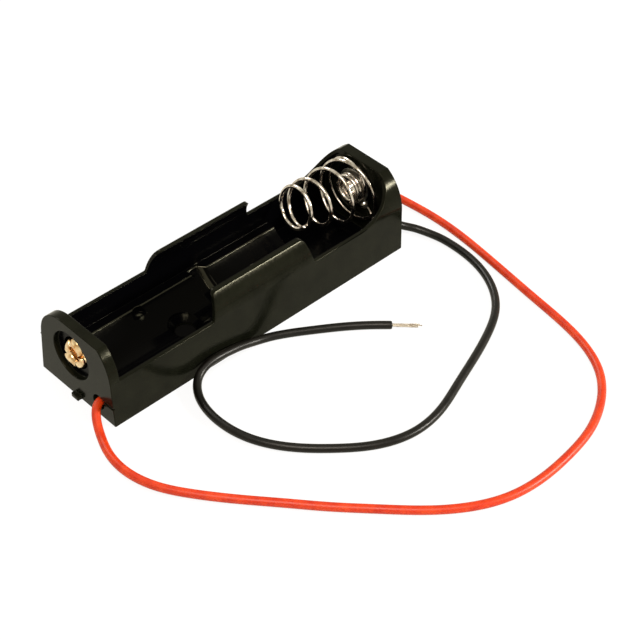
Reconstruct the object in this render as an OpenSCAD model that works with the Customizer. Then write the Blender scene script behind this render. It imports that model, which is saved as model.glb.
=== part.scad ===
// Holder for one AA cell: moulded tray, conical spring, riveted contacts and two soldered leads.
// X runs along the cell with the spring at +X, Y runs across, Z is up.
// The origin is the middle of the underside. Millimetres.

/* [Tray] */
// Length over the two end faces
holder_l = 58; // [55:0.5:72]
// Width across the base
holder_w = 16.6; // [16:0.1:21]
// Height of the end wall behind the spring
spring_end_h = 13.6; // [12.5:0.1:14.2]
// Height of the end plate that carries the positive contact
contact_end_h = 12.8; // [12:0.1:14.2]
// Height of the low side walls
low_wall_h = 7.7; // [7:0.1:9.2]
// Thickness of the side walls at their rim
wall_t = 0.7; // [0.6:0.05:1.2]
// How far each side wall leans in between the base and the start of the curve
wall_draft = 0.45; // [0.1:0.05:0.8]
// Thickness of the floor in the two end pockets
floor_t = 1; // [0.8:0.1:1.4]
// Thickness of the plate at the positive end
contact_plate_t = 1.7; // [1.6:0.1:3]
// Thickness of the wall at the spring end
spring_wall_t = 2; // [1.7:0.1:2.6]
// Radius of the sweep from the low walls up to the spring end
sweep_r = 7.5; // [5:0.5:9]

/* [Cheeks] */
// Height of the two sprung cheeks that snap over the cell
cheek_h = 11.8; // [10:0.1:12.4]
// Length of a cheek where it leaves the side wall
cheek_base_l = 20; // [16:0.2:26]
// Length of a cheek along its lip
cheek_lip_l = 17.8; // [12:0.2:22]
// Radius of the two corners of a cheek's lip
cheek_corner_r = 1; // [0.4:0.1:1.6]

/* [Cradle] */
// Largest diameter of the cell
cell_d = 14.5; // [13.5:0.1:17.5]
// Skin left between the cell and the pocket floor level
cradle_skin = 0.2; // [0.1:0.05:0.5]
// Height of the ledges on both sides of the trough
ledge_h = 3.9; // [3:0.1:4.8]
// Width of the relief groove across the middle of the trough
relief_w = 1.8; // [1:0.1:3]
// Depth of the relief groove
relief_depth = 0.9; // [0.4:0.1:1.2]

/* [Mounting] */
// Distance between the two screw holes
screw_pitch = 18; // [14:0.5:19]
// Diameter of a screw hole
screw_hole_d = 3.2; // [2.4:0.1:3.6]
// Diameter of the countersink for the screw head
screw_head_d = 5.2; // [4.4:0.1:6.4]

/* [Contacts] */
// Height of the positive contact above the underside
positive_z = 7.4; // [7:0.1:8.5]
// How far the positive contact sits off the middle, away from the lead
positive_y = 0.9; // [0:0.1:1.2]
// Diameter of the recess in each end face
recess_d = 7.8; // [6:0.1:8]
// Thickness of plastic left behind each recess
web_t = 0.8; // [0.7:0.05:1.1]
// Diameter of the rivet and eyelet shanks
shank_d = 3; // [2.4:0.1:3.4]
// Diameter of the rolled rims in the end recesses
rim_d = 5.2; // [4.6:0.1:5.6]
// Diameter of the positive contact button
button_d = 6.4; // [5:0.1:7]
// Thickness of the solder tags
tag_t = 0.3; // [0.2:0.05:0.4]

/* [Spring] */
// Diameter of the spring wire
wire_d = 0.6; // [0.5:0.05:0.7]
// Height of the eyelet that holds the spring
spring_z = 8.4; // [7.6:0.1:8.5]
// How far the eyelet sits off the middle
spring_y = 0.7; // [0:0.1:1]
// Radius of the free coil, to the middle of the wire
spring_tip_r = 3.3; // [2.6:0.1:3.6]
// Radius of the coil on the end wall, to the middle of the wire
spring_base_r = 5.3; // [5:0.1:5.4]
// Free length from the end wall to the tip coil
spring_l = 12.6; // [9:0.2:14]

/* [Leads] */
// Diameter of the lead insulation
lead_d = 1.3; // [1:0.05:1.3]
// Diameter of the stranded conductor
core_d = 0.5; // [0.4:0.05:0.5]
// Diameter of the hole that each lead leaves through
lead_hole_d = 2.4; // [2:0.1:2.6]

/* [Hidden] */
$fn = 64;
eps = 0.01;

// Levels and half-widths of the tray
arc_z = 7;                                   // the outer sides are straight below, round above
base_half = holder_w / 2;
wall_half = base_half - wall_draft;
bay_half = wall_half - wall_t;
left_x = -holder_l / 2;
right_x = holder_l / 2;
bay_left_x = left_x + contact_plate_t;
bay_right_x = right_x - spring_wall_t;
cell_r = cell_d / 2;
cell_z = floor_t + cradle_skin + cell_r;
tall = 2 * spring_end_h;
sweep_run = 0.95 * sweep_r;                    // length of the sweep along the wall
shoulder_r = 5;                              // the contact end's far shoulder is rounder than the near one

// Cradle stretches, between the wire pocket and the spring bay
wire_pocket_l = 2.3;
spring_bay_l = 12.6;
cradle_x0 = bay_left_x + wire_pocket_l;
cradle_x1 = bay_right_x - spring_bay_l;
relief_x = -2.7;                             // start of the relief groove
relief_slope = 1;                            // length of its sloped side
rooting = 0.3;                               // how far the cradle runs into the walls

// Screw holes
screw_land = 0.3;                            // straight part of a screw hole
screw_z = screw_land + (screw_head_d - screw_hole_d) / 2;

// Core pockets in the underside and moulding marks
core_in = 5.3;
core_out = bay_half - 0.25;
core_end = 1.2;
core_roof = [1.7, 2.3, 2.7];
pin_flat_d = 2.3;
pin_flat_x = -13.6;
pin_flat_y = 4.6;
pin_flat_z = 2.75;
gate_w = 1.5;
gate_l = 0.7;
gate_h = 0.8;
seam_h = 0.3;
seam_depth = 0.25;

// Leads: where they cross the end faces, and the channels to the solder tags
lead_y = -4.8;
lead_z = 2.5;
channel_w = 1;
channel_depth = 0.6;
stop_depth = 0.8;                            // how far the insulation reaches into an end
tag_dir = [-0.70711, -0.70711];              // from the contact axis down to the lead
pos_axis = [positive_y, positive_z];         // Y and Z of the two contacts
neg_axis = [spring_y, spring_z];
pos_joint = pos_axis + 4.3 * tag_dir;        // Y and Z of the two solder joints
neg_joint = neg_axis + 3.3 * tag_dir;
tag_ring_r = 3;
tag_tail_r = 0.75;
tag_hole_d = 0.7;
solder_r = 0.6;
solder_h = 0.5;
solder_cap = 0.12;                           // solder over the ends of the strands
strands_short = 0.15;
fit_gap = 0.01;

// Rivet and eyelet heads
button_h = 0.9;
button_edge_h = 0.35;
head_r = shank_d / 2 + 0.5;
head_h = 0.7;
bore_r = shank_d / 2 - 0.4;
rim_step = 0.15;

// Spring: closed tip turn, open turns, seat turn on the wall, spiral inwards, core turns
tip_turns = 1;
open_turns = 3;
seat_turns = 0.5;
spiral_turns = 0.5;
core_turns = 2.1;
start_angle = -150;
spring_facets = 24;                          // rings in one turn
wire_sides = 8;
wire_gap = 0.03;                             // between the wire and what it lies on
closed_pitch = wire_d + 0.025;
core_r = head_r + wire_d / 2 + wire_gap;
tip_mid = neg_axis + [0.7, 1.7];             // Y and Z of the middle of the tip coil
seat_mid = neg_axis - [0, 0.3];              // Y and Z of the middle of the seat coil
seat_x = bay_right_x - wire_d / 2 - wire_gap;
core_x = bay_right_x - tag_t - wire_d / 2 - wire_gap;
tip_x = bay_right_x - spring_l;
seat_start = tip_turns + open_turns;
turns = seat_start + seat_turns + spiral_turns + core_turns;
settle_turns = 1.5;                          // open turns in which the coil squares up to the wall
spiral_lift = 2.2;                           // how early the spiral rises over the solder tag
core_flat = 0.25;                            // turns before the core leaves the tag

// Lead routes along the middle of the insulation, over the surface that the holder stands on
lie_z = lead_d / 2;
lead_sides = 8;
red_route = [
    [left_x + stop_depth, lead_y, lead_z], [left_x + 0.4, lead_y, lead_z], [left_x - 0.5, -5.1, 2.4],
    [left_x - 1.3, -5.8, 2.05], [left_x - 2, -6.8, 1.5], [left_x - 2.6, -8, 1], [left_x - 3.2, -9.4, 0.72],
    [-33.1, -11.6, lie_z], [-33.6, -15, lie_z], [-33, -19.5, lie_z],
    [-31, -23.5, lie_z], [-28, -27.5, lie_z], [-25, -31, lie_z], [-22, -34.5, lie_z],
    [-19, -37.5, lie_z], [-16, -41, lie_z], [-13, -44.5, lie_z], [-10, -47.5, lie_z],
    [-6.5, -50.5, lie_z], [-3, -53, lie_z], [1, -54.5, lie_z], [5.5, -55.5, lie_z],
    [10, -55.5, lie_z], [14.5, -55, lie_z], [19, -54.5, lie_z], [23, -53, lie_z],
    [27, -50.5, lie_z], [30, -47.5, lie_z], [32.5, -43.5, lie_z], [33.5, -39, lie_z],
    [34, -34.5, lie_z], [35, -30, lie_z], [35.5, -26, lie_z], [36.5, -21.5, lie_z],
    [37, -17, lie_z], [37.5, -12.5, lie_z], [38, -8, lie_z], [38, -3.5, lie_z],
    [37.5, 0.5, lie_z]];
black_route = [
    [right_x - stop_depth, lead_y, lead_z], [right_x, lead_y, lead_z], [right_x + 1.4, -4.9, 2.3],
    [right_x + 2.6, -5.4, 1.7], [right_x + 3.7, -6.4, 1.1], [right_x + 4.6, -7.9, 0.75],
    [34.5, -10, lie_z], [35, -14, lie_z], [34.5, -18.5, lie_z],
    [33, -23, lie_z], [30.5, -26.5, lie_z], [27, -29.5, lie_z], [23, -31.5, lie_z],
    [19, -33, lie_z], [15, -34.5, lie_z], [11, -36, lie_z], [6.5, -37.5, lie_z],
    [2, -38, lie_z], [-2.5, -37, lie_z], [-6, -35, lie_z], [-9.5, -32.5, lie_z],
    [-13, -29.5, lie_z], [-16, -26, lie_z], [-17.5, -22, lie_z], [-18, -17.5, lie_z],
    [-17.4, -13.5, lie_z], [-16.2, -11, 0.8], [-14.6, -9.5, 1.3], [-12.4, -9, 2], [-10, -9, 2.1],
    [-7.8, -9, 1.8], [-5.8, -9, 1.4], [-3.8, -9.1, 0.9], [-1.6, -9.6, lie_z],
    [1, -10.8, lie_z], [5, -13.2, lie_z], [8.5, -15.5, lie_z], [12, -18.2, lie_z], [14, -20, lie_z]];
red_tip = [[37.5, 0.5, lie_z], [37.2, 2.2, 0.55], [36.7, 3.9, 0.4], [36, 5.4, core_d / 2]];
black_tip = [[14, -20, lie_z], [15.3, -21.1, 0.55], [16.6, -22.2, 0.4], [17.8, -23.2, core_d / 2]];

function unit(v) = v / norm(v);
function mix(a, b, t) = a + (b - a) * t;
function clamp01(t) = min(1, max(0, t));
function smooth(t) = t * t * (3 - 2 * t);

// A 2D outline in Y and Z becomes a bar along X that starts at x
module along_x(x, length) translate([x, 0, 0]) rotate([90, 0, 90]) linear_extrude(length) children();

// A 2D outline in X and Z becomes a slab across Y
module along_y(width) rotate([90, 0, 0]) linear_extrude(width, center = true) children();

// A tube of n sides through the points
module tube(points, radius, n = lead_sides) {
    last = len(points) - 1;
    rings = [for (i = [0:last])
        let (t = unit(points[min(last, i + 1)] - points[max(0, i - 1)]),
             s = unit(cross(t, [0, 0, 1])), u = cross(s, t))
        [for (k = [0:n - 1]) points[i] + radius * (cos(360 * k / n) * s + sin(360 * k / n) * u)]];
    skin(rings, n);
}

// Closes a row of rings of n points into a solid
module skin(rings, n) {
    last = len(rings) - 1;
    polyhedron(
        points = [for (r = rings) each r],
        faces = concat(
            [[for (k = [0:n - 1]) k]],
            [for (i = [0:last - 1], k = [0:n - 1])
                [i * n + k, (i + 1) * n + k, (i + 1) * n + (k + 1) % n, i * n + (k + 1) % n]],
            [[for (k = [n - 1:-1:0]) last * n + k]]),
        convexity = 10);
}

// Outside of the tray across Y: leaning sides below, one round above
module envelope_2d() {
    polygon([[-base_half, 0], [base_half, 0], [wall_half, arc_z], [-wall_half, arc_z]]);
    intersection() {
        translate([0, arc_z]) circle(r = wall_half, $fn = 128);
        translate([-base_half, arc_z - eps]) square([holder_w, tall]);
    }
}

// Empty bay across Y: upright walls below, the hollow side of the cheeks above
module bay_2d() {
    translate([-bay_half, floor_t]) square([2 * bay_half, arc_z - floor_t]);
    intersection() {
        translate([0, arc_z]) circle(r = bay_half, $fn = 128);
        translate([-base_half, arc_z - eps]) square([holder_w, tall]);
    }
}

// One cheek seen from the side, with round lip corners
module cheek_2d() {
    lean = (cheek_base_l - cheek_lip_l) / 2;
    rise = cheek_h - low_wall_h;
    turn = atan2(rise, lean);
    reach = cheek_corner_r * tan(turn / 2);
    corner = [for (i = [0:6]) let (a = 90 - turn * i / 6)
        [cheek_lip_l / 2 - reach + cheek_corner_r * cos(a),
         cheek_h - cheek_corner_r + cheek_corner_r * sin(a)]];
    polygon(concat(
        [[-cheek_base_l / 2, 0]],
        [[-cheek_base_l / 2, low_wall_h]],
        [for (i = [6:-1:0]) [-corner[i][0], corner[i][1]]],
        corner,
        [[cheek_base_l / 2, low_wall_h]],
        [[cheek_base_l / 2, 0]]));
}

// Sweep from the low walls up to the spring end
module sweep_2d() difference() {
    translate([bay_right_x - sweep_run, low_wall_h - eps])
        square([sweep_run + eps, min(sweep_r, spring_end_h - low_wall_h)]);
    translate([bay_right_x - sweep_run, low_wall_h + sweep_r]) circle(r = sweep_r, $fn = 144);
}

// Side view of everything that stands up from the floor
module outline_2d() {
    translate([left_x, 0]) square([holder_l, low_wall_h]);
    translate([left_x, 0]) square([contact_plate_t, contact_end_h]);
    translate([bay_right_x, 0]) square([spring_wall_t, spring_end_h]);
    cheek_2d();
    sweep_2d();
}

// What the far shoulder of the contact end loses to its rounding
module shoulder_2d() difference() {
    translate([0, arc_z]) square([holder_w, tall]);
    offset(r = shoulder_r) offset(r = -shoulder_r) intersection() {
        translate([0, arc_z]) circle(r = wall_half, $fn = 128);
        translate([-holder_w, -holder_w]) square([2 * holder_w, holder_w + contact_end_h]);
    }
}

// Cradle section: a block with the cell's trough in its top
module cradle_2d() difference() {
    translate([-bay_half - rooting, floor_t - rooting])
        square([2 * (bay_half + rooting), ledge_h - floor_t + rooting]);
    translate([0, cell_z]) circle(r = cell_r, $fn = 128);
}

module relief_groove() intersection() {
    translate([relief_x, 0, cell_z]) rotate([0, 90, 0]) {
        cylinder(h = relief_w, r = cell_r + relief_depth, $fn = 128);
        translate([0, 0, relief_w - eps])
            cylinder(h = relief_slope, r1 = cell_r + relief_depth, r2 = cell_r, $fn = 128);
    }
    translate([relief_x - 1, -bay_half, floor_t]) cube([relief_w + relief_slope + 2, 2 * bay_half, ledge_h]);
}

// Hollows in the underside below the ledges
module core_pockets() {
    middle = (core_in + core_out) / 2;
    for (side = [-1, 1], span = [[cradle_x0, relief_x], [relief_x + relief_w + relief_slope, cradle_x1]])
        along_x(span[0] + core_end, span[1] - span[0] - 2 * core_end)
            scale([side, 1])
                polygon([[core_in, -1], [core_out, -1], [core_out, core_roof[2]],
                         [middle, core_roof[1]], [core_in, core_roof[0]]]);
}

module screw_holes() {
    for (side = [-1, 1]) translate([side * screw_pitch / 2, 0, 0]) {
        translate([0, 0, -1]) cylinder(h = floor_t + 2, d = screw_hole_d);
        translate([0, 0, screw_land]) cylinder(h = screw_z - screw_land, d1 = screw_hole_d, d2 = screw_head_d);
        translate([0, 0, screw_z - eps]) cylinder(h = ledge_h, d = screw_head_d);
    }
}

// Flats left by the pins that push the moulding out
module pin_flats() {
    for (side = [-1, 1])
        translate([pin_flat_x, side * pin_flat_y, pin_flat_z]) cylinder(h = ledge_h, d = pin_flat_d);
}

// Recess, shank hole, lead hole and channel of one end: out is the face, inner the bay side
module end_cuts(out, inner, axis, joint) {
    dir = sign(out);
    run = joint - [lead_y, lead_z];
    translate([inner - dir, axis[0], axis[1]]) rotate([0, dir * 90, 0]) {
        cylinder(h = abs(out - inner) + 2, d = shank_d);
        translate([0, 0, 1 + web_t]) cylinder(h = abs(out - inner) + 1, d = recess_d);
    }
    translate([inner - dir, lead_y, lead_z]) rotate([0, dir * 90, 0])
        cylinder(h = abs(out - inner) + 2, d = lead_hole_d);
    translate([inner - (dir > 0 ? eps : channel_depth), lead_y, lead_z]) rotate([atan2(run[1], run[0]), 0, 0])
        translate([0, 0, -channel_w / 2]) cube([channel_depth + eps, norm(run) + channel_w / 2, channel_w]);
}

// Witness line from the red lead's hole to the near side, and the trimmed gate
module seam() translate([left_x - 1, -base_half - 1, lead_z + lead_hole_d / 4])
    cube([1 + seam_depth, base_half + 1 + lead_y - lead_hole_d / 4, seam_h]);

module gate() translate([left_x - gate_l, -gate_w / 2, 0]) cube([gate_l + 1, gate_w, gate_h]);

module tray() color("#1d1d1b") difference() {
    union() {
        difference() {
            intersection() {
                along_x(left_x, holder_l) envelope_2d();
                along_y(holder_w + 1) outline_2d();
            }
            along_x(bay_left_x, bay_right_x - bay_left_x) bay_2d();
        }
        along_x(cradle_x0, cradle_x1 - cradle_x0) cradle_2d();
        gate();
    }
    relief_groove();
    along_x(left_x - 1, contact_plate_t + 1 + eps) shoulder_2d();
    core_pockets();
    screw_holes();
    pin_flats();
    end_cuts(left_x, bay_left_x, pos_axis, pos_joint);
    end_cuts(right_x, bay_right_x, neg_axis, neg_joint);
    seam();
}

// Rolled rim of a hollow shank: a half-round lip between the bore and the rim's edge
module rim_profile() intersection() {
    translate([(bore_r + rim_d / 2) / 2, 0]) circle(d = rim_d / 2 - bore_r, $fn = 48);
    square([rim_d, rim_d]);
}

// Positive contact: domed head in the bay, hollow shank through the web, rim in the end recess
module positive_rivet() color("#c9b98f")
    translate([bay_left_x - web_t, pos_axis[0], pos_axis[1]]) rotate([0, 90, 0]) {
    face = web_t + tag_t;
    dome_h = button_h - button_edge_h;
    dome_r = (pow(button_d / 2, 2) + pow(dome_h, 2)) / 2 / dome_h;
    rotate_extrude() {
        translate([bore_r, 0]) square([shank_d / 2 - bore_r, face + eps]);
        translate([0, face]) square([button_d / 2, button_edge_h]);
        intersection() {
            translate([0, face]) square([button_d / 2, button_h]);
            translate([0, face + button_h - dome_r]) circle(r = dome_r, $fn = 192);
        }
        mirror([0, 1]) rim_profile();
    }
}

// Negative eyelet: hollow shank with a flat head in the bay and a rim in the end recess
module negative_eyelet() color("#b9b6ab")
    translate([bay_right_x + web_t, neg_axis[0], neg_axis[1]]) rotate([0, -90, 0]) rotate_extrude() {
        face = web_t + tag_t;
        translate([bore_r, 0]) square([shank_d / 2 - bore_r, face + eps]);
        difference() {
            translate([bore_r, face]) square([head_r - bore_r, head_h]);
            translate([bore_r, face + head_h]) circle(r = rim_step);
        }
        mirror([0, 1]) rim_profile();
    }

// Solder tag: a ring under the head and a tail down to the joint
module tag_2d(axis, joint) translate(axis) {
    tail = joint - axis;
    difference() {
        union() {
            circle(r = tag_ring_r);
            rotate(atan2(tail[1], tail[0])) translate([0, -tag_tail_r]) square([norm(tail), 2 * tag_tail_r]);
            translate(tail) circle(r = tag_tail_r);
        }
        circle(d = shank_d);
        translate(tail) circle(d = tag_hole_d);
    }
}

module positive_tag() color("#c4c2b8") along_x(bay_left_x, tag_t) tag_2d(pos_axis, pos_joint);
module negative_tag() color("#c4c2b8") along_x(bay_right_x - tag_t, tag_t) tag_2d(neg_axis, neg_joint);

// Solder joint: a small dome on the tag, with the strands' hole
module solder_joint(x, dir, joint)
    translate([x, joint[0], joint[1]]) rotate([0, dir * 90, 0])
        rotate_extrude() difference() {
            intersection() {
                bulge = (pow(solder_r, 2) + pow(solder_h, 2)) / 2 / solder_h;
                translate([0, solder_h - bulge]) circle(r = bulge, $fn = 48);
                square([solder_r, solder_h]);
            }
            square([core_d / 2 + fit_gap, solder_h - solder_cap]);
        }

module positive_solder() color("#b4b4ae") solder_joint(bay_left_x + tag_t, 1, pos_joint);
module negative_solder() color("#b4b4ae") solder_joint(bay_right_x - tag_t, -1, neg_joint);

// Middle of the spring wire at a number of turns from the free end
function coil_radius(t) =
    t < tip_turns ? spring_tip_r :
    t < seat_start ? mix(spring_tip_r, spring_base_r, (t - tip_turns) / open_turns) :
    mix(spring_base_r, core_r, smooth(clamp01((t - seat_start - seat_turns) / spiral_turns)));
function coil_x(t) =
    let (tip_end_x = tip_x + closed_pitch * tip_turns, core_start = turns - core_turns)
    t < tip_turns ? tip_x + closed_pitch * t :
    t < seat_start ? mix(tip_end_x, seat_x, (t - tip_turns) / open_turns) :
    t < core_start ?
        mix(seat_x, core_x, smooth(clamp01(spiral_lift * (t - seat_start - seat_turns) / spiral_turns))) :
    core_x - closed_pitch * max(0, t - core_start - core_flat);
function coil_mid(t) =
    t < seat_start ? mix(tip_mid, seat_mid, clamp01((t - tip_turns) / open_turns)) :
    mix(seat_mid, neg_axis, smooth(clamp01((t - seat_start - seat_turns) / spiral_turns)));
function coil_point(t) =
    let (a = start_angle + 360 * t,
         r = coil_radius(t),
         tilt = (tip_mid - seat_mid) / spring_l * smooth(clamp01((seat_start - t) / settle_turns)),
         d = r * [cos(a), sin(a)])
    [coil_x(t) + tilt * d, coil_mid(t)[0] + d[0], coil_mid(t)[1] + d[1]];

module negative_spring() color("#c8c6c0") {
    steps = round(turns * spring_facets);
    rings = [for (i = [0:steps])
        let (t = turns * i / steps,
             p = coil_point(t),
             forward = unit(coil_point(min(turns, t + eps)) - coil_point(max(0, t - eps))),
             out = unit(cross(forward, [1, 0, 0])), side = cross(out, forward))
        [for (k = [0:wire_sides - 1]) let (a = 360 * k / wire_sides)
            p + wire_d / 2 * (cos(a) * out + sin(a) * side)]];
    skin(rings, wire_sides);
}

// Bare strands from the insulation, along the channel and through the tag into the solder
module inner_strands(out, inner, joint) {
    dir = sign(out);
    bed = inner + dir * channel_depth / 2;
    start = out - dir * stop_depth;
    run = [joint[0] - lead_y, joint[1] - lead_z];
    function along(s) = [bed, lead_y + run[0] * s, lead_z + run[1] * s];
    tube([[start, lead_y, lead_z], [mix(start, bed, 0.5), lead_y, lead_z], along(0.15), along(0.5),
          along(0.9), [mix(bed, inner - dir * tag_t, 0.5), joint[0] - 0.02, joint[1] - 0.02],
          [inner - dir * (tag_t + 0.05), joint[0], joint[1]],
          [inner - dir * (tag_t + solder_h - strands_short), joint[0], joint[1]]], core_d / 2);
}

module red_lead() color("#e2401f") tube(red_route, lead_d / 2);
module red_inner_strands() color("#b8b4a8") inner_strands(left_x, bay_left_x, pos_joint);
module red_bare_end() color("#b8b4a8") tube(red_tip, core_d / 2);
module black_lead() color("#1b1b1d") tube(black_route, lead_d / 2);
module black_inner_strands() color("#b8b4a8") inner_strands(right_x, bay_right_x, neg_joint);
module black_bare_end() color("#b8b4a8") tube(black_tip, core_d / 2);

tray();
positive_rivet();
positive_tag();
positive_solder();
negative_spring();
negative_eyelet();
negative_tag();
negative_solder();
red_lead();
red_inner_strands();
red_bare_end();
black_lead();
black_inner_strands();
black_bare_end();
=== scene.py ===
# Holder for one AA cell: black moulded tray, conical spring, riveted contacts, red and black leads.
import math

import bpy
import numpy as np
from mathutils import Matrix, Vector


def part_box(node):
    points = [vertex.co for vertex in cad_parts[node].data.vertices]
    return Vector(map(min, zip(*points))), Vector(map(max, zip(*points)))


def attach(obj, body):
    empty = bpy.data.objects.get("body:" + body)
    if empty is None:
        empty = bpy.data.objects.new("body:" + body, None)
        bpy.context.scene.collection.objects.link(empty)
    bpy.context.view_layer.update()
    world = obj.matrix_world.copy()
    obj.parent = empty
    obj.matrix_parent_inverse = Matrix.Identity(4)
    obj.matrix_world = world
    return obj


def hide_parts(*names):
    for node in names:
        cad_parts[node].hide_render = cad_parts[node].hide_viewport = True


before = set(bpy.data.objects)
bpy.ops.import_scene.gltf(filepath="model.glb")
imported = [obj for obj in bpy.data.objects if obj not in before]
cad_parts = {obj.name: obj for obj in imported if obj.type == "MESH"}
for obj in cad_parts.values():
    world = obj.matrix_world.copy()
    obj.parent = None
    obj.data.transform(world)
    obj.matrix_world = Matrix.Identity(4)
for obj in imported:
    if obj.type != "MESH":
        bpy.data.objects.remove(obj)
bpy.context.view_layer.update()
mm = 0.001
scene = bpy.context.scene
print("frame loaded")

# where the CAD pieces lie: the contacts' axes run along X through these (Y, Z) points
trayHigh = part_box("tray")[1]
posTagLow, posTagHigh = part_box("positive_tag")
tagLow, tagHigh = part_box("negative_tag")
rivetLow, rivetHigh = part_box("positive_rivet")
eyeletLow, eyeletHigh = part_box("negative_eyelet")
rivetAxis = np.array([rivetLow.y + rivetHigh.y, rivetLow.z + rivetHigh.z]) / 2
springAxis = np.array([eyeletLow.y + eyeletHigh.y, eyeletLow.z + eyeletHigh.z]) / 2


def linear(hexColour):
    # sRGB hex to linear, as Blender's colour sockets want it
    value = np.array([int(hexColour[i:i + 2], 16) for i in (1, 3, 5)]) / 255
    return (*np.where(value <= 0.04045, value / 12.92, ((value + 0.055) / 1.055) ** 2.4), 1.0)


def unit(vectors):
    return vectors / np.linalg.norm(vectors, axis=-1, keepdims=True)


def smoothStep(t):
    t = np.clip(t, 0, 1)
    return t * t * (3 - 2 * t)


def waves(angle, level, terms):
    # level plus size * sin(count * angle + turn) for each term
    return level + sum(size * np.sin(count * angle + turn) for size, count, turn in terms)


def runAlong(line):
    # distance from the first point to each point, along the line
    return np.concatenate([[0], np.cumsum(np.linalg.norm(np.diff(line, axis=0), axis=1))])


def smoothLine(points, step):
    # natural cubic spline through the points, by chord length, then sampled about step apart
    p = np.array(points, float)
    t = runAlong(p)
    h = np.linalg.norm(np.diff(p, axis=0), axis=1)
    n, i = len(p), np.arange(1, len(p) - 1)
    a, b = np.eye(n), np.zeros((n, 3))
    a[i, i - 1], a[i, i], a[i, i + 1] = h[:-1], 2 * (h[:-1] + h[1:]), h[1:]
    b[1:-1] = 6 * np.diff(np.diff(p, axis=0) / h[:, None], axis=0)
    m = np.linalg.solve(a, b)
    at = np.linspace(0, t[-1], int(math.ceil(t[-1] / step)) + 1)
    k = np.clip(np.searchsorted(t, at, side="right") - 1, 0, n - 2)
    left, right, hk = (at - t[k])[:, None], (t[k + 1] - at)[:, None], h[k][:, None]
    return (m[k] * right ** 3 + m[k + 1] * left ** 3) / (6 * hk) \
        + (p[k] / hk - m[k] * hk / 6) * right + (p[k + 1] / hk - m[k + 1] * hk / 6) * left


def axesAlong(line, reference):
    # tangent, side and up at each point of a line that never runs along reference
    tangent = unit(np.gradient(line, axis=0))
    side = unit(np.cross(tangent, reference))
    return tangent, side, np.cross(side, tangent)


def tubeGrid(line, radius, sides, reference=(0, 0, 1)):
    # ring of the given radius round each point: line + radius * (cos(angle) * side + sin(angle) * up)
    tangent, side, up = axesAlong(line, reference)
    angle = np.linspace(0, 2 * np.pi, sides, endpoint=False)[None, :, None]
    radius = np.broadcast_to(radius, len(line))[:, None, None]
    return line[:, None] + radius * (np.cos(angle) * side[:, None] + np.sin(angle) * up[:, None])


def turnedGrid(outline, origin, direction, sides):
    # outline of (radius, distance) turned about an axis through origin that runs along X;
    # 0 * angle spreads the distance over the whole ring
    angle = np.linspace(0, 2 * np.pi, sides, endpoint=False)[None, :]
    r, x = outline[:, 0][:, None], outline[:, 1][:, None]
    return np.stack([origin[0] + direction * x + 0 * angle,
                     origin[1] + r * np.cos(angle), origin[2] + r * np.sin(angle)], -1)


def roundedOutline(corners, radii, steps=6):
    # each corner of an open outline becomes an arc that touches both of its sides
    nearlyStraight = 1.55  # half the corner's angle, in radians
    p, out = np.array(corners, float), [np.array(corners[:1], float)]
    for i in range(1, len(p) - 1):
        toPrev, toNext = unit(p[i - 1] - p[i]), unit(p[i + 1] - p[i])
        half = math.acos(np.clip(toPrev @ toNext, -1, 1)) / 2
        if radii[i] <= 0 or half > nearlyStraight:
            out.append(p[i:i + 1])
            continue
        reach = radii[i] / math.tan(half)
        centre = p[i] + unit(toPrev + toNext) * radii[i] / math.sin(half)
        a, b = p[i] + toPrev * reach - centre, p[i] + toNext * reach - centre
        t = np.linspace(0, 1, steps)[:, None]
        out.append(centre + unit(a * (1 - t) + b * t) * radii[i])
    out.append(p[-1:])
    return np.concatenate(out)


def gridQuads(rows, cols, spans):
    # quads between a grid's neighbouring rings, with each one's row and column; spans is how many rings
    # are joined to their next, and a ring's last point is joined to its first
    r, c = np.meshgrid(np.arange(spans), np.arange(cols), indexing="ij")
    r, c = r.ravel(), c.ravel()
    nextR, nextC = (r + 1) % rows, (c + 1) % cols
    return r, c, np.stack([r * cols + c, r * cols + nextC, nextR * cols + nextC, nextR * cols + c], 1)


def insideOut(cloud, quad, *tris):
    # faces that point inwards enclose a negative volume: the sum of a . (b x c) over their triangles
    corners = np.concatenate([quad[:, [0, 1, 2]], quad[:, [0, 2, 3]], *tris])
    a, b, c = (cloud[corners[:, k]] for k in range(3))
    return (a * np.cross(b, c)).sum() < 0


def addPiece(name, mesh, material, node):
    # a smooth piece on the holder's one body, in place of its CAD node
    mesh.shade_smooth()
    mesh.materials.append(material)
    piece = bpy.data.objects.new(name, mesh)
    scene.collection.objects.link(piece)
    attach(piece, "root")
    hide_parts(node)
    return piece


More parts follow.
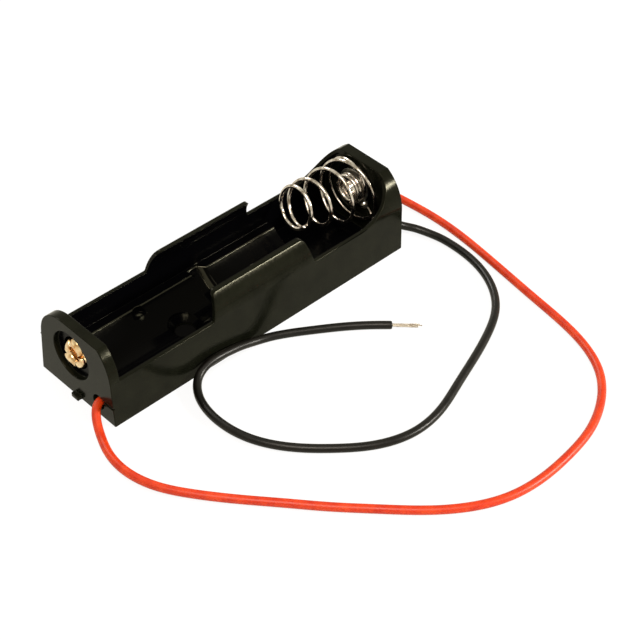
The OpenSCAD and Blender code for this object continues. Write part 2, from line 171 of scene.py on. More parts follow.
def closedPiece(name, grids, material, node):
    # each grid is rings of points; the rings are joined by quads and both ends are fanned to their middle
    points, quads, tris, quadUv, triUv, first = [], [], [], [], [], 0
    for grid in grids:
        rows, cols = grid.shape[:2]
        r, c, quad = gridQuads(rows, cols, rows - 1)
        run = runAlong(grid.mean(1))  # v runs along the piece in metres, u once round it
        uv = np.stack([np.stack([col / cols, run[row]], -1)
                       for row, col in ((r, c), (r, c + 1), (r + 1, c + 1), (r + 1, c))], 1)
        ring = np.arange(cols)
        capA = np.stack([np.roll(ring, -1), ring, np.full(cols, rows * cols)], 1)
        capB = np.stack([ring, np.roll(ring, -1), np.full(cols, rows * cols + 1)], 1)
        capB[:, :2] += (rows - 1) * cols
        cloud = np.concatenate([grid.reshape(-1, 3), grid[:1].mean(1), grid[-1:].mean(1)])
        tri = np.concatenate([capA, capB])
        if insideOut(cloud, quad, tri):
            quad, uv, tri = quad[:, ::-1], uv[:, ::-1], tri[:, ::-1]
        points.append(cloud)
        quads.append(quad + first)
        tris.append(tri + first)
        quadUv.append(uv.reshape(-1, 2))
        triUv.append(np.zeros((len(tri) * 3, 2)))
        first += len(cloud)
    faces = np.concatenate(quads).tolist() + np.concatenate(tris).tolist()
    mesh = bpy.data.meshes.new(name)
    mesh.from_pydata(np.concatenate(points), [], faces)
    mesh.uv_layers.new(name="alongPiece").data.foreach_set("uv", np.concatenate(quadUv + triUv).ravel())
    return addPiece(name, mesh, material, node)


def closedRing(name, grid, material, node):
    # a grid that closes on itself both ways, such as a hollow turned part
    rows, cols = grid.shape[0] - 1, grid.shape[1]
    quad = gridQuads(rows, cols, rows)[2]
    cloud = grid[:-1].reshape(-1, 3)
    if insideOut(cloud, quad):
        quad = quad[:, ::-1]
    mesh = bpy.data.meshes.new(name)
    mesh.from_pydata(cloud, [], quad.tolist())
    return addPiece(name, mesh, material, node)


def newMaterial(name):
    material = bpy.data.materials.new(name)
    material.use_nodes = True
    return material, material.node_tree.nodes["Principled BSDF"]


def setNode(owner, node, settings=None, links=None):
    # settings name properties or sockets; links map an input to another node's output
    for key, value in (settings or {}).items():
        if isinstance(key, int) or key in node.inputs:
            node.inputs[key].default_value = value
        else:
            setattr(node, key, value)
    for key, output in (links or {}).items():
        owner.node_tree.links.new(output, node.inputs[key])
    return node


def addNode(owner, kind, settings=None, links=None):
    # owner is a material or the world
    return setNode(owner, owner.node_tree.nodes.new("ShaderNode" + kind), settings, links)


def noiseOn(material, vector, perMm, detail=3.0, rough=0.5, stretch=(1, 1, 1)):
    # noise with a cell of about 1 / perMm millimetres, pulled out along the axes with a small stretch
    scale = tuple(s * perMm / mm for s in stretch)
    scaled = addNode(material, "Mapping", {"Scale": scale}, {"Vector": vector})
    return addNode(material, "TexNoise", {"Scale": 1.0, "Detail": detail, "Roughness": rough},
                   {"Vector": scaled.outputs["Vector"]}).outputs["Fac"]


def spread(low, high, fromLow=0.3, fromHigh=0.7):
    # settings that stretch the middle of a noise over low to high
    return {"From Min": fromLow, "From Max": fromHigh, "To Min": low, "To Max": high}


def shadeBetween(material, value, look, fromLow=0.3, fromHigh=0.7):
    # colour between the look's dark and pale, by value
    share = addNode(material, "MapRange", spread(0.0, 1.0, fromLow, fromHigh), {"Value": value})
    return addNode(material, "Mix", {"data_type": "RGBA", 6: linear(look["dark"]), 7: linear(look["pale"])},
                   {"Factor": share.outputs["Result"]}).outputs[2]


def combine(owner, how, *values):
    # folds several values into one with the same sum
    total = values[0]
    for value in values[1:]:
        total = addNode(owner, "Math", {"operation": how}, {0: total, 1: value}).outputs[0]
    return total


def within(material, value, low, high):
    # 1 where the value lies between low and high, 0 elsewhere
    above = addNode(material, "Math", {"operation": "GREATER_THAN", 1: low}, {0: value})
    below = addNode(material, "Math", {"operation": "LESS_THAN", 1: high}, {0: value})
    return combine(material, "MULTIPLY", above.outputs[0], below.outputs[0])


def distanceFrom(material, place, centre, keep):
    # distance of the point from a line through centre; keep has 0 on the line's own axis
    away = addNode(material, "VectorMath", {"operation": "SUBTRACT", 1: centre}, {0: place})
    flat = addNode(material, "VectorMath", {"operation": "MULTIPLY", 1: keep}, {0: away.outputs[0]})
    return addNode(material, "VectorMath", {"operation": "LENGTH"}, {0: flat.outputs[0]}).outputs["Value"]


# metals: colour and roughness drift with a soft cloud of so many cells to the millimetre; dark and pale
# lie at the cloud's values in "at", and the plate's fine grain softens its gleam
nickelLook = {"dark": "#94877a", "pale": "#ebe5df", "at": (0.3, 0.7), "rough": (0.12, 0.26), "cloud": 1.2,
              "detail": 4.0, "grain": 14.0, "grainDetail": 2.0, "strength": 0.15, "deep": 0.004 * mm}
brassLook = {**nickelLook, "dark": "#bd884a", "pale": "#fbe6c0"}
tinLook = {"dark": "#9c9a92", "pale": "#c9c7bf", "at": (0.3, 0.7), "rough": (0.25, 0.42), "cloud": 1.5,
           "detail": 4.0}
solderLook = {"dark": "#8a7a63", "pale": "#cfccc4", "at": (0.3, 0.55), "rough": (0.34, 0.16), "cloud": 2.2,
              "detail": 4.0, "grain": 2.2, "grainDetail": 4.0, "strength": 0.4, "deep": 0.02 * mm}
tinnedLook = {"dark": "#8c7660", "pale": "#bdb4a8", "at": (0.3, 0.5), "rough": (0.3, 0.45), "cloud": 2.5,
              "detail": 3.0}


def cloudyMetal(name, look):
    material, shader = newMaterial(name)
    place = addNode(material, "TexCoord").outputs["Object"]
    cloud = noiseOn(material, place, look["cloud"], look["detail"])
    rough = addNode(material, "MapRange", spread(*look["rough"]), {"Value": cloud})
    colour = shadeBetween(material, cloud, look, *look["at"])
    setNode(material, shader, {"Metallic": 1.0}, {"Base Color": colour, "Roughness": rough.outputs["Result"]})
    if "grain" in look:
        grain = noiseOn(material, place, look["grain"], look["grainDetail"])
        bump = addNode(material, "Bump", {"Strength": look["strength"], "Distance": look["deep"]},
                       {"Height": grain})
        setNode(material, shader, {}, {"Normal": bump.outputs["Normal"]})
    return material


# soft PVC, extruded over the strands: even colour, waxy gloss, long faint die lines round the lead
pvcLook = {"around": 26.0, "along": 0.12, "lineDetail": 2.0, "cloud": 0.6, "lineShare": 0.6, "strength": 0.3,
           "deep": 0.012 * mm, "ior": 1.53}
redLook = {"dark": "#ac2404", "pale": "#c23808", "rough": (0.36, 0.46), "gloss": 0.3,
           "light": {"Subsurface Weight": 0.15, "Subsurface Radius": (0.6 * mm, 0.12 * mm, 0.06 * mm),
                     "Subsurface Scale": 1.0}}
blackLook = {"dark": "#050403", "pale": "#0c0a07", "rough": (0.3, 0.4), "gloss": 0.22, "light": {}}


def pvcInsulation(name, look):
    material, shader = newMaterial(name)
    where = addNode(material, "TexCoord").outputs
    dieLines = addNode(material, "Mapping", {"Scale": (pvcLook["around"], pvcLook["along"] / mm, 1.0)},
                       {"Vector": where["UV"]})
    lines = addNode(material, "TexNoise", {"Scale": 1.0, "Detail": pvcLook["lineDetail"]},
                    {"Vector": dieLines.outputs["Vector"]})
    cloud = noiseOn(material, where["Object"], pvcLook["cloud"])
    height = addNode(material, "Math", {"operation": "MULTIPLY_ADD", 1: pvcLook["lineShare"]},
                     {0: lines.outputs["Fac"], 2: cloud})
    bump = addNode(material, "Bump", {"Strength": pvcLook["strength"], "Distance": pvcLook["deep"]},
                   {"Height": height.outputs["Value"]})
    rough = addNode(material, "MapRange", spread(*look["rough"]), {"Value": cloud})
    setNode(material, shader, {"IOR": pvcLook["ior"], "Specular IOR Level": look["gloss"], **look["light"]},
            {"Base Color": shadeBetween(material, cloud, look), "Roughness": rough.outputs["Result"],
             "Normal": bump.outputs["Normal"]})
    return material


tinned = cloudyMetal("tinned_copper_drawn", tinnedLook)  # grey-white, copper warmth where the tin is thin
nickel = cloudyMetal("nickel_plated_steel_wire", nickelLook)  # warm white, cloudy where the plate is thin
brassNickel = cloudyMetal("nickel_flash_on_brass", brassLook)  # the same, with brass showing through
tinStrip = cloudyMetal("tin_plated_strip", tinLook)  # stamped: soft grey, smeared by handling
solder = cloudyMetal("solder_hand_flowed", solderLook)  # bright where it cooled fast, a little brown flux
redPvc = pvcInsulation("pvc_red_extruded", redLook)
blackPvc = pvcInsulation("pvc_black_extruded", blackLook)
print("materials made")

cameraView = {"azimuth": -45.895, "elevation": 42.572, "roll": 2.341, "distance": 242.66 * mm,
              "aim": (7.603 * mm, -11.692 * mm, 0), "lens": 90.63, "sensor": 36, "clip": (0.01, 20)}


def makeCamera(view):
    az, el = math.radians(view["azimuth"]), math.radians(view["elevation"])
    back = Vector((math.sin(az) * math.cos(el), -math.cos(az) * math.cos(el), math.sin(el)))
    camera = bpy.data.objects.new("camera", bpy.data.cameras.new("camera"))
    camera.data.lens = view["lens"]
    camera.data.sensor_width = view["sensor"]
    camera.data.clip_start, camera.data.clip_end = view["clip"]
    turn = (-back).to_track_quat("-Z", "Y").to_matrix() @ Matrix.Rotation(math.radians(view["roll"]), 3, "Z")
    camera.matrix_world = Matrix.Translation(Vector(view["aim"]) + back * view["distance"]) @ turn.to_4x4()
    scene.collection.objects.link(camera)
    scene.camera = camera


makeCamera(cameraView)

# leads: edge is the radius of the cut insulation's rim, bore is where the strands leave it
lead = {"diameter": 1.3 * mm, "sides": 28, "step": 0.35 * mm, "bore": 0.6 * mm, "boreDeep": 0.5 * mm,
        "edge": 0.2 * mm, "edgeSteps": 5, "shrink": 0.004 * mm, "ripple": 0.0024 * mm, "rippleStep": 1.9 * mm}
# nest: how close the outer strands lie, in diameters; fan: how far they open at a free tip
strand = {"diameter": 0.17 * mm, "sides": 10, "step": 0.12 * mm, "count": 6, "pitch": 4.2 * mm,
          "nest": 0.97, "fan": 0.45, "fanVary": 0.3, "fanTurn": 2.3, "cut": 3, "cutVary": 4, "cutTurn": 1.7}
lieZ = 0.65  # a lead's middle when it lies on the surface, in mm like the routes

redRoute = [
    (-28.2, -4.8, 2.5), (-28.6, -4.8, 2.5), (-29.5, -5.1, 2.4),
    (-30.3, -5.8, 2.05), (-31, -6.8, 1.5), (-31.6, -8, 1), (-32.2, -9.4, 0.72),
    (-33, -11.6, lieZ), (-33.5, -15, lieZ), (-32.4, -20.4, lieZ), (-29.4, -25.4, lieZ),
    (-25.6, -30.2, lieZ), (-21.6, -34.8, lieZ), (-17.6, -39.4, lieZ), (-13.4, -43.8, lieZ),
    (-9.2, -48, lieZ), (-4.4, -51.8, lieZ), (1, -54.4, lieZ), (7, -55.4, lieZ),
    (13, -55.2, lieZ), (19, -54.2, lieZ), (24.6, -51.8, lieZ), (29.2, -48, lieZ),
    (32.2, -42.8, lieZ), (33.8, -37, lieZ), (34.8, -31, lieZ), (35.8, -25, lieZ),
    (36.8, -19, lieZ), (37.6, -13.2, lieZ), (37.9, -7.6, lieZ), (37.7, -3.4, lieZ), (37.3, 0.5, lieZ)]
blackRoute = [
    (28.2, -4.8, 2.5), (28.9, -4.8, 2.5), (29.8, -4.95, 2.42), (30.8, -5.4, 2.05),
    (31.9, -6.1, 1.5), (33, -7.1, 1.1), (34, -8.9, 0.8), (34.7, -11.2, 0.67),
    (34.9, -14, lieZ), (34.6, -17.8, lieZ), (32.6, -23.6, lieZ), (28.8, -28.2, lieZ),
    (23.6, -31.2, lieZ), (18, -33.4, lieZ), (12.2, -35.4, lieZ), (6.6, -37.2, lieZ),
    (0.6, -37.6, lieZ), (-5.2, -35.6, lieZ), (-9.8, -32.2, lieZ), (-14, -28, lieZ),
    (-17, -23, lieZ), (-18, -17.5, lieZ), (-17.4, -13.5, lieZ), (-16.2, -11, 0.8),
    (-14.6, -9.5, 1.3), (-12.4, -9, 2), (-10, -9, 2.1), (-7.8, -9, 1.8), (-5.8, -9, 1.4),
    (-3.8, -9.1, 0.9), (-1.6, -9.6, lieZ), (1, -10.8, lieZ), (5, -13.2, lieZ),
    (8.5, -15.5, lieZ), (12, -18.2, lieZ), (14.3, -20.26, lieZ)]
redTip = [(37.3, 0.5, lieZ), (37, 2.2, 0.56), (36.6, 3.9, 0.44), (36, 5.4, 0.36)]
blackTip = [(14.3, -20.26, lieZ), (15.4, -21.2, 0.56), (16.6, -22.2, 0.44), (17.8, -23.2, 0.36)]


def insulationGrid(line):
    # the tube's rings, radius - shrink + ripple * sin(run / rippleStep), and at each end a quarter
    # round of the edge's radius that turns into the strands' bore
    radius, edge = lead["diameter"] / 2, lead["edge"]
    run = np.arange(len(line)) * lead["step"]
    ripple = lead["ripple"] * np.sin(run / lead["rippleStep"])
    body = tubeGrid(line, radius - lead["shrink"] + ripple, lead["sides"])
    tangent = unit(np.gradient(line, axis=0))
    turn = np.linspace(0, np.pi / 2, lead["edgeSteps"])[1:, None]
    offsets = np.concatenate([edge * np.sin(turn), [[edge], [-lead["boreDeep"]]]]) - edge
    radii = np.concatenate([radius - edge * (1 - np.cos(turn)), [[lead["bore"] / 2]] * 2])

    def endRings(end, inward):
        ring = body[end] - line[end]
        return line[end] - inward * offsets[:, :, None] + ring * (radii / radius)[:, :, None]

    return np.concatenate([endRings(0, tangent[0])[::-1], body[1:-1], endRings(-1, -tangent[-1])])


def strandBundle(line, fan=0.0):
    # one straight strand and six that wind round it: each lies nest + fan * share diameters away
    run = runAlong(line)
    share = run / run[-1]
    tangent, side, up = axesAlong(line, (0, 0, 1))
    grids = [tubeGrid(line, strand["diameter"] / 2, strand["sides"])]
    for k in range(strand["count"]):
        angle = (2 * np.pi * (run / strand["pitch"] + k / strand["count"]))[:, None]
        opened = fan * share * (1 + strand["fanVary"] * math.sin(strand["fanTurn"] * k))
        away = (strand["diameter"] * (strand["nest"] + opened))[:, None]
        path = line + away * (np.cos(angle) * side + np.sin(angle) * up)
        # the cut is never quite level
        short = int(strand["cut"] + strand["cutVary"] * (0.5 + 0.5 * math.sin(strand["cutTurn"] * k)))
        grids.append(tubeGrid(path[:len(path) - short], strand["diameter"] / 2, strand["sides"]))
    return grids


def makeLead(colourName, route, tip, material):
    line = smoothLine(np.array(route) * mm, lead["step"])
    line[:, 2] = np.maximum(line[:, 2], lieZ * mm)
    piece = closedPiece(colourName + "_insulation", [insulationGrid(line)], material,
                        colourName + "_lead")
    tipLine = smoothLine(np.array(tip) * mm, strand["step"])
    bare = closedPiece(colourName + "_tip_strands", strandBundle(tipLine, strand["fan"]), tinned,
                       colourName + "_bare_end")


makeLead("red", redRoute, redTip, redPvc)
makeLead("black", blackRoute, blackTip, blackPvc)

# tray: where its inner faces with their painted shade, its ejector marks and the edges with a painted
# highlight lie
trayPlan = {"arcZ": 7 * mm, "bay": (-27.2 * mm, 26.9 * mm), "bayHalf": 7.3 * mm, "bayFloor": 0.3 * mm,
            "recessR": 3.85 * mm, "recessMore": 0.1 * mm, "pinMark": (-13.7 * mm, 4.75 * mm),
            "pinR": 0.7 * mm, "pinDeep": 0.2 * mm, "ledgeEdge": (3.76 * mm, 3.9 * mm),
            "slope": (-0.95 * mm, -0.3 * mm)}
trayEdge = {"weld": 0.002 * mm, "flat": 1.0, "width": 0.12 * mm, "segments": 3, "sharp": 28}
# drag: the faint lines drawn up the walls as the moulding left its tool; fine: the texture of its skin
# inner is the painted shade colour of the inner faces; gloss is the outer faces' level, then the inner faces'
# lower one, also painted shade
trayLook = {"inner": "#030304", "dark": "#090a06", "pale": "#10110b", "rough": (0.12, 0.2), "cloud": 0.35,
            "drag": 2.5, "dragDetail": 2.0, "dragRough": 0.6, "dragLong": (1, 1, 0.06), "dragShare": 0.5,
            "fine": 9.0, "fineDetail": 2.0, "strength": 0.25, "deep": 0.0015 * mm, "ior": 1.53,
            "tint": "#fcf8d8", "gloss": (0.072, 0.03), "glintGloss": 0.4}
beyond = 1  # a metre, further than any piece


def paintedShadeFaces(material, place):
    # 1 on the cell bay, the trough and the contact recesses, which get painted shade, a blacker colour and a
    # weaker gloss; 0 on the outer faces
    axes = addNode(material, "SeparateXYZ", {}, {"Vector": place}).outputs
    # the walls stand upright to arcZ and curve inwards above it: sqrt(y^2 + max(z - arcZ, 0)^2) < bayHalf
    above = addNode(material, "Math", {"operation": "SUBTRACT", 1: trayPlan["arcZ"]}, {0: axes["Z"]})
    above = addNode(material, "Math", {"operation": "MAXIMUM", 1: 0.0}, {0: above.outputs[0]})
    section = addNode(material, "CombineXYZ", {}, {"Y": axes["Y"], "Z": above.outputs[0]})
    away = addNode(material, "VectorMath", {"operation": "LENGTH"}, {0: section.outputs[0]})
    found = [combine(material, "MULTIPLY", within(material, axes["X"], *trayPlan["bay"]),
                     within(material, away.outputs["Value"], -beyond, trayPlan["bayHalf"]),
                     within(material, axes["Z"], trayPlan["bayFloor"], beyond))]
    more = trayPlan["recessMore"]
    for low, high, axis in ((rivetLow, rivetHigh, rivetAxis), (eyeletLow, eyeletHigh, springAxis)):
        away = distanceFrom(material, place, (0, *axis), (0, 1, 1))
        found.append(combine(material, "MULTIPLY", within(material, away, -beyond, trayPlan["recessR"]),
                             within(material, axes["X"], low.x - more, high.x + more)))
    return combine(material, "MAXIMUM", *found)


def blackMoulding(look):
    # black ABS, injection moulded against polished steel: hazed olive black outside; inside, painted shade, a
    # blacker colour and a weaker gloss
    material, shader = newMaterial("abs_black_moulded")
    place = addNode(material, "TexCoord").outputs["Object"]
    cloud = noiseOn(material, place, look["cloud"])
    drag = noiseOn(material, place, look["drag"], look["dragDetail"], look["dragRough"], look["dragLong"])
    fine = noiseOn(material, place, look["fine"], look["fineDetail"])
    inner = paintedShadeFaces(material, place)
    # painted shade: the inner faces take the blacker inner colour
    colour = addNode(material, "Mix", {"data_type": "RGBA", 7: linear(look["inner"])},
                     {"Factor": inner, 6: shadeBetween(material, cloud, look)})
    rough = addNode(material, "MapRange", spread(*look["rough"]), {"Value": drag})
    height = addNode(material, "Math", {"operation": "MULTIPLY_ADD", 1: look["dragShare"]},
                     {0: drag, 2: fine})
    bump = addNode(material, "Bump", {"Strength": look["strength"], "Distance": look["deep"]},
                   {"Height": height.outputs["Value"]})
    # the ejector pins left two small dished marks: depth falls as 1 - (r / pinR)^2
    markX, markY = trayPlan["pinMark"]
    away = combine(material, "MINIMUM", *(distanceFrom(material, place, (markX, side * markY, 0), (1, 1, 0))
                                          for side in (-1, 1)))
    share = addNode(material, "Math", {"operation": "DIVIDE", 1: trayPlan["pinR"]}, {0: away})
    dish = addNode(material, "Math", {"operation": "POWER", 1: 2.0}, {0: share.outputs[0]})
    dish = addNode(material, "Math", {"operation": "MINIMUM", 1: 1.0}, {0: dish.outputs[0]}).outputs[0]
    bump = addNode(material, "Bump", {"Distance": trayPlan["pinDeep"]},
                   {"Height": dish, "Normal": bump.outputs["Normal"]})
    # painted highlight: the gloss is raised on the ledges' edges, the groove's slope and the bottom of each
    # pin mark, so that they glint
    axes = addNode(material, "SeparateXYZ", {}, {"Vector": place}).outputs
    glintBands = combine(material, "MAXIMUM", within(material, axes["Z"], *trayPlan["ledgeEdge"]),
                   within(material, axes["X"], *trayPlan["slope"]))
    glintBands = combine(material, "MULTIPLY", glintBands, inner)
    glintBands = addNode(material, "MapRange", spread(0.0, look["glintGloss"], 0.0, 1.0), {"Value": glintBands})
    # painted glint: the gloss rises to its most at the middle of each pin mark
    dished = addNode(material, "Math", {"operation": "SUBTRACT", 0: 1.0}, {1: dish})
    # painted shade: the inner faces get the lower gloss
    gloss = addNode(material, "MapRange", spread(*look["gloss"], 0.0, 1.0), {"Value": inner})
    gloss = combine(material, "ADD", gloss.outputs["Result"], glintBands.outputs["Result"], dished.outputs[0])
    setNode(material, shader, {"IOR": look["ior"], "Specular Tint": linear(look["tint"])},
            {"Base Color": colour.outputs[2], "Roughness": rough.outputs["Result"],
             "Normal": bump.outputs["Normal"], "Specular IOR Level": gloss})
    return material


def dressPart(name, edge, material):
    # a CAD solid with its doubled points joined and every sharp edge given a small radius
    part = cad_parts[name]
    part.data.materials.clear()
    part.data.materials.append(material)
    weld = part.modifiers.new("weld", "WELD")
    weld.merge_threshold = edge["weld"]
    if "flat" in edge:  # flat facets are joined first
        flats = part.modifiers.new("flats", "DECIMATE")
        flats.decimate_type = "DISSOLVE"
        flats.angle_limit = math.radians(edge["flat"])
    bevel = part.modifiers.new("edges", "BEVEL")
    bevel.width = edge["width"]
    bevel.segments = edge["segments"]
    bevel.limit_method = "ANGLE"
    bevel.angle_limit = math.radians(edge["sharp"])
    return part, bevel


def dressTray():
    part, bevel = dressPart("tray", trayEdge, blackMoulding(trayLook))
    bevel.use_clamp_overlap = False
    bevel.miter_outer = "MITER_ARC"
    smooth = part.modifiers.new("normals", "WEIGHTED_NORMAL")
    smooth.keep_sharp = True
    for polygon in part.data.polygons:
        polygon.use_smooth = True


dressTray()
print("tray dressed")

# spring: turns counted from the free tip; start in degrees; head is the eyelet's, which the core grips
springWall = tagHigh.x
spring = {"wire": 0.6 * mm, "tipRadius": 3.3 * mm, "baseRadius": 5.3 * mm, "free": 12.6 * mm,
          "tipTurns": 1, "openTurns": 3, "seatTurns": 0.5, "spiralTurns": 0.5, "coreTurns": 2.1,
          "start": -150, "gap": 0.03 * mm, "close": 0.025 * mm, "head": 2 * mm, "settle": 1.5,
          "lift": 2.2, "coreFlat": 0.25, "ringsPerTurn": 72, "sides": 20, "cropped": 0.8,
          "tipMiddle": (0.7 * mm, 1.7 * mm), "seatMiddle": (0, -0.3 * mm)}


def springLine():
    # closed tip turn, open cone, seat turn on the wall, spiral inwards and the core turns on the eyelet
    s, wire = spring, spring["wire"]
    tagThick = tagHigh.x - tagLow.x
    seatStart = s["tipTurns"] + s["openTurns"]
    turns = seatStart + s["seatTurns"] + s["spiralTurns"] + s["coreTurns"]
    t = np.linspace(0, turns, int(turns * s["ringsPerTurn"]))
    opened = np.clip((t - s["tipTurns"]) / s["openTurns"], 0, 1)
    spiral = (t - seatStart - s["seatTurns"]) / s["spiralTurns"]
    inward = smoothStep(spiral)
    coreRadius = s["head"] + wire / 2 + s["gap"]
    radius = s["tipRadius"] + (s["baseRadius"] - s["tipRadius"]) * opened
    radius = radius + (coreRadius - s["baseRadius"]) * inward
    closedPitch = wire + s["close"]
    tipX = springWall - s["free"]
    seatX = springWall - wire / 2 - s["gap"]
    coreX = springWall - tagThick - wire / 2 - s["gap"]
    tipEnd = tipX + closedPitch * s["tipTurns"]
    x = np.where(t < s["tipTurns"], tipX + closedPitch * t, tipEnd + (seatX - tipEnd) * opened)
    x = x + (coreX - seatX) * smoothStep(spiral * s["lift"])
    x = x - closedPitch * np.maximum(0, t - (turns - s["coreTurns"]) - s["coreFlat"])
    tipMid, seatMid = springAxis + s["tipMiddle"], springAxis + s["seatMiddle"]
    middle = tipMid + (seatMid - tipMid) * opened[:, None]
    middle = middle + (springAxis - seatMid) * inward[:, None]
    angle = np.radians(s["start"] + 360 * t)
    out = radius[:, None] * np.stack([np.cos(angle), np.sin(angle)], 1)
    lean = (tipMid - seatMid) / s["free"] * smoothStep((seatStart - t) / s["settle"])[:, None]
    return np.concatenate([(x + (lean * out).sum(1))[:, None], middle + out], 1)


def makeSpring():
    line = springLine()
    radius = np.full(len(line), spring["wire"] / 2)
    radius[[0, -1]] *= spring["cropped"]  # the cropped ends have a small edge
    closedPiece("coil_spring", [tubeGrid(line, radius, spring["sides"], (1, 0, 0))], nickel,
                "negative_spring")


makeSpring()
print("spring wound")

# contacts: shank and bore go through the web, and the rim is rolled in the end recess
contact = {"shank": 1.5 * mm, "bore": 1.1 * mm, "rim": 2.6 * mm, "web": 0.8 * mm, "rimSteps": 18}
# rivet: shrink and press are a level and waves of (size, count, turn) round the rolled rim
rivet = {"height": 0.9 * mm, "edge": 0.35 * mm, "rounds": (0, 0.06 * mm, 0.08 * mm, 0, 0), "pole": 0.02 * mm,
         "domeShare": 0.985, "domeSteps": 26, "hollowDeep": 0.8, "hollowEnd": 0.9, "sides": 200, "petals": 4,
         "petalTurn": 0.35, "notchWidth": 0.22, "notchDeep": 0.5,
         "shrink": (0.05, ((0.10, 2, 1), (0.07, 3, 0))), "press": (0.16, ((0.14, 2, 0.4), (0.1, 5, 2)))}
eyelet = {"height": 0.7 * mm, "rounds": (0, 0, 0.05 * mm, 0.22 * mm, 0.25 * mm, 0), "sides": 96}


def rimOutline():
    # the shank's end rolled outwards: half a circle from the bore round to the rim
    middle, half = (contact["bore"] + contact["rim"]) / 2, (contact["rim"] - contact["bore"]) / 2
    angle = np.linspace(np.pi, 0, contact["rimSteps"])
    return np.stack([middle + half * np.cos(angle), -half * np.sin(angle)], 1)


def makeRivet():
    # a dome of a circle's arc, its edge, the shank, the rolled rim and the hollow, turned about the axis
    c, s = contact, rivet
    face = posTagHigh.x - posTagLow.x + c["web"]
    buttonR = (rivetHigh.z - rivetLow.z) / 2
    domeH = s["height"] - s["edge"]
    domeR = (buttonR ** 2 + domeH ** 2) / 2 / domeH
    out = np.linspace(s["pole"], buttonR * s["domeShare"], s["domeSteps"])
    dome = np.stack([out, face + s["height"] - domeR + np.sqrt(domeR ** 2 - out ** 2)], 1)
    edge = roundedOutline([tuple(dome[-1]), (buttonR, face + s["edge"]), (buttonR, face),
                           (c["shank"], face), (c["shank"], 0)], s["rounds"])
    hollow = np.array([(c["bore"], 0), (c["bore"], face * s["hollowDeep"]),
                       (c["bore"] * s["hollowEnd"], face), (s["pole"], face)])
    outline = np.concatenate([dome, edge[1:], rimOutline()[::-1], hollow])
    grid = turnedGrid(outline, (posTagLow.x - c["web"], *rivetAxis), 1, s["sides"])
    # the rolled end is split into petals: narrow notches run in from the lip
    angle = np.linspace(0, 2 * np.pi, s["sides"], endpoint=False)[None, :]
    wave = np.abs(np.sin(s["petals"] * (angle + s["petalTurn"]) / 2))
    notch = np.exp(-(wave / s["notchWidth"]) ** 2)
    fromBore = np.clip((outline[:, 0] - c["bore"]) / (c["rim"] - c["bore"]), 0, 1)[:, None]
    onRim = (outline[:, 1] < 0)[:, None] * fromBore
    lift = 1 - onRim * waves(angle, *s["shrink"]) - onRim * notch * s["notchDeep"]
    grid[:, :, 1:] = rivetAxis + (grid[:, :, 1:] - rivetAxis) * lift[:, :, None]
    # each petal is pressed down by its own amount
    grid[:, :, 0] += onRim * mm * waves(angle, *s["press"])
    closedPiece("contact_rivet", [grid], brassNickel, "positive_rivet")


def makeEyelet():
    # shank, head and bore with the rolled rim, turned about the axis into a closed ring
    face = tagHigh.x - tagLow.x + contact["web"]
    top, shank, bore = face + eyelet["height"], contact["shank"], contact["bore"]
    outside = roundedOutline([(shank, 0), (shank, face), (spring["head"], face), (spring["head"], top),
                              (bore, top), (bore, 0)], eyelet["rounds"])
    outline = np.concatenate([outside, rimOutline()[1:], outside[:1]])
    grid = turnedGrid(outline, (tagHigh.x + contact["web"], *springAxis), -1, eyelet["sides"])
    closedRing("spring_eyelet", grid, nickel, "negative_eyelet")


makeRivet()
makeEyelet()

tagEdge = {"weld": 0.002 * mm, "width": 0.04 * mm, "segments": 2, "sharp": 40}
for tagName in ("positive_tag", "negative_tag"):
    dressPart(tagName, tagEdge, tinStrip)

# solder: tip is where the innermost ring stops, edge a level and waves of (size, count, turn)
joint = {"sides": 48, "rings": 14, "tip": 0.04, "edge": (1, ((0.08, 3, 1.1), (0.05, 5, 0))), "fullness": 0.8,
         "lopsided": 0.06}


def solderBlob(name, node, direction):
    # a dome with a drawn-out skirt: height falls as (1 - share^2)^fullness and runs out at a wavy edge
    low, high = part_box(node)
    middle = (low + high) / 2
    base = low.x if direction > 0 else high.x
    radius, height = (high.y - low.y) / 2, high.x - low.x
    angle = np.linspace(0, 2 * np.pi, joint["sides"], endpoint=False)[None, :]
    share = np.linspace(1, joint["tip"], joint["rings"])[:, None]
    edge = waves(angle, *joint["edge"])
    uneven = 1 + joint["lopsided"] * np.sin(2 * angle) * share
    rise = height * (1 - share ** 2) ** joint["fullness"] * uneven
    r = radius * share * (1 + (edge - 1) * share)
    grid = np.stack([base + direction * rise, middle.y + r * np.cos(angle), middle.z + r * np.sin(angle)], -1)
    closedPiece(name, [grid], solder, node)


solderBlob("positive_joint", "positive_solder", 1)
solderBlob("negative_joint", "negative_solder", -1)

# the strands' channel, in mm: where it starts in the end wall and how deep it lies in the bay wall
channel = {"y": -4.8, "z": 2.5, "face": 29, "stop": 0.8, "deep": 0.6, "shares": (0.15, 0.5, 0.9),
           "tag": 0.3, "sink": 0.02, "through": (0.05, 0.35)}


def innerStrands(name, node, sign, inner, axis, reach):
    # bare strands from the insulation up the moulded channel and through the tag into the solder,
    # which lies reach millimetres from the contact's axis, halfway between down and forwards
    c = channel
    jointY, jointZ = axis / mm - math.sqrt(0.5) * reach
    bed, start = inner + sign * c["deep"] / 2, sign * (c["face"] - c["stop"])
    along = [(bed, c["y"] + (jointY - c["y"]) * s, c["z"] + (jointZ - c["z"]) * s) for s in c["shares"]]
    ends = [(inner - sign * (c["tag"] + more), jointY, jointZ) for more in c["through"]]
    route = [(start, c["y"], c["z"]), ((start + bed) / 2, c["y"], c["z"]), *along,
             ((bed + inner - sign * c["tag"]) / 2, jointY - c["sink"], jointZ - c["sink"]), *ends]
    line = smoothLine(np.array(route) * mm, strand["step"])
    closedPiece(name, strandBundle(line), tinned, node)


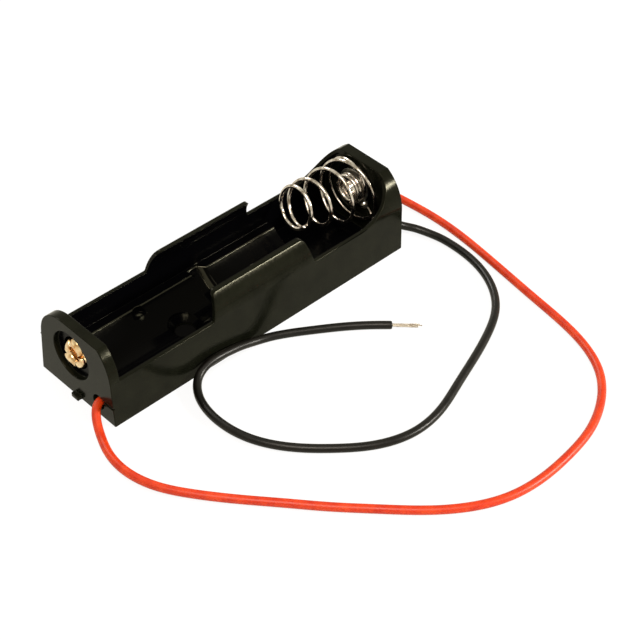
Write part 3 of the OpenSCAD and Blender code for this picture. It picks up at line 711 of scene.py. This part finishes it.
innerStrands("red_tail_strands", "red_inner_strands", -1, posTagLow.x / mm, rivetAxis, reach=4.3)
innerStrands("black_tail_strands", "black_inner_strands", 1, tagHigh.x / mm, springAxis, reach=3.3)
print("contacts made")

# the room's white is a warm one in everything that reflects it
bounceTone = "#faf5df"
plainWhite = (1, 1, 1, 1)
# floor: lift is how far it is raised to white; the painted shadow under the tray, a dark colour with no lift,
# ends between the two margins
paper = {"size": 1.5, "drop": 0.02 * mm, "rough": 0.9, "gloss": 0.1, "lift": 0.86, "dark": "#020202",
         "pale": "#f4f4f4", "shadowEnds": (1.2 * mm, 0.2 * mm)}


def makeFloor():
    # pale sheet: lit by the lamps, and lifted to white for the eye and for reflections
    mesh = bpy.data.meshes.new("floor")
    corners = [(x * paper["size"], y * paper["size"], -paper["drop"])
               for x, y in ((-1, -1), (1, -1), (1, 1), (-1, 1))]
    mesh.from_pydata(corners, [], [(0, 1, 2, 3)])
    floor = bpy.data.objects.new("floor", mesh)
    scene.collection.objects.link(floor)
    material, shader = newMaterial("paper_white_matt")
    path = addNode(material, "LightPath").outputs
    seen = combine(material, "MAXIMUM",
                   path["Is Camera Ray"], path["Is Glossy Ray"], path["Is Transmission Ray"])
    # under the tray the sheet is painted dark and loses its lift: a painted shadow that shows through the
    # screw holes
    place = addNode(material, "SeparateXYZ", {}, {"Vector": addNode(material, "TexCoord").outputs["Object"]})
    outside = []
    for axis, half in (("X", trayHigh.x), ("Y", trayHigh.y)):
        away = addNode(material, "Math", {"operation": "ABSOLUTE"}, {0: place.outputs[axis]})
        fade = spread(0.0, 1.0, *(half - end for end in paper["shadowEnds"]))
        outside.append(addNode(material, "MapRange", fade, {"Value": away.outputs[0]}).outputs["Result"])
    # clear is 0 under the tray, where the painted shadow lies
    clear = combine(material, "MAXIMUM", *outside)
    setNode(material, shader, {"Roughness": paper["rough"], "Specular IOR Level": paper["gloss"]},
            {"Base Color": shadeBetween(material, clear, paper, 0.0, 1.0)})
    lifted = addNode(material, "Math", {"operation": "MULTIPLY", 1: paper["lift"]}, {0: seen}).outputs[0]
    tone = addNode(material, "Mix", {"data_type": "RGBA", 6: linear(bounceTone), 7: plainWhite},
                   {"Factor": path["Is Camera Ray"]})
    glow = addNode(material, "Emission", {"Strength": 1.0}, {"Color": tone.outputs[2]})
    mix = addNode(material, "MixShader", {}, {0: combine(material, "MULTIPLY", lifted, clear),
                                              1: shader.outputs[0], 2: glow.outputs[0]})
    setNode(material, material.node_tree.nodes["Material Output"], {}, {"Surface": mix.outputs[0]})
    floor.data.materials.append(material)


# world: fill lights the object, backdrop is what is seen; it dims between the two heights
room = {"fill": 0.55, "backdrop": 1.0, "horizon": (0.06, 0.34), "overhead": 0.75}


def makeWorld():
    world = bpy.data.worlds.new("studio")
    world.use_nodes = True
    scene.world = world
    path = addNode(world, "LightPath").outputs
    seen = combine(world, "MAXIMUM", path["Is Camera Ray"], path["Is Glossy Ray"])
    level = addNode(world, "MapRange", spread(room["fill"], room["backdrop"], 0.0, 1.0), {"Value": seen})
    # the white backdrop ends a little above the horizon: overhead the room is dim
    way = addNode(world, "SeparateXYZ", {}, {"Vector": addNode(world, "TexCoord").outputs["Generated"]})
    height = addNode(world, "MapRange", spread(1.0, room["overhead"], *room["horizon"]),
                     {"Value": way.outputs["Z"]})
    always = combine(world, "MAXIMUM", height.outputs["Result"], path["Is Camera Ray"])
    strength = combine(world, "MULTIPLY", level.outputs["Result"], always)
    tone = addNode(world, "Mix", {"data_type": "RGBA", 6: plainWhite, 7: linear(bounceTone)},
                   {"Factor": path["Is Glossy Ray"]})
    setNode(world, world.node_tree.nodes["Background"], {}, {"Strength": strength, "Color": tone.outputs[2]})


# soft boxes: way from the origin, distance and size in metres, power in watts
lamps = {"edge": {"way": (0.529, -0.743, 0.413), "distance": 0.7, "size": (0.2, 0.06),
                  "power": 6.0, "colour": "#fffaf0"},
         "key": {"way": (-0.35, -0.35, 0.87), "distance": 0.7, "size": (0.3, 0.3),
                 "power": 4.0, "colour": "#fff4e6"},
         "back": {"way": (0.05, 0.75, 0.63), "distance": 0.8, "size": (0.35, 0.2),
                  "power": 3.0, "colour": "#fffaf4"}}


def makeLamps():
    for name, choice in lamps.items():
        lamp = bpy.data.lights.new(name, "AREA")
        lamp.shape = "RECTANGLE"
        lamp.size, lamp.size_y = choice["size"]
        lamp.energy = choice["power"]
        lamp.color = linear(choice["colour"])[:3]
        box = bpy.data.objects.new(name, lamp)
        way = Vector(choice["way"]).normalized()
        box.location = way * choice["distance"]
        box.rotation_mode = "QUATERNION"
        box.rotation_quaternion = way.to_track_quat("Z", "Y")
        scene.collection.objects.link(box)


makeFloor()
makeWorld()
makeLamps()
scene.view_settings.view_transform = "Standard"
print("stage set")
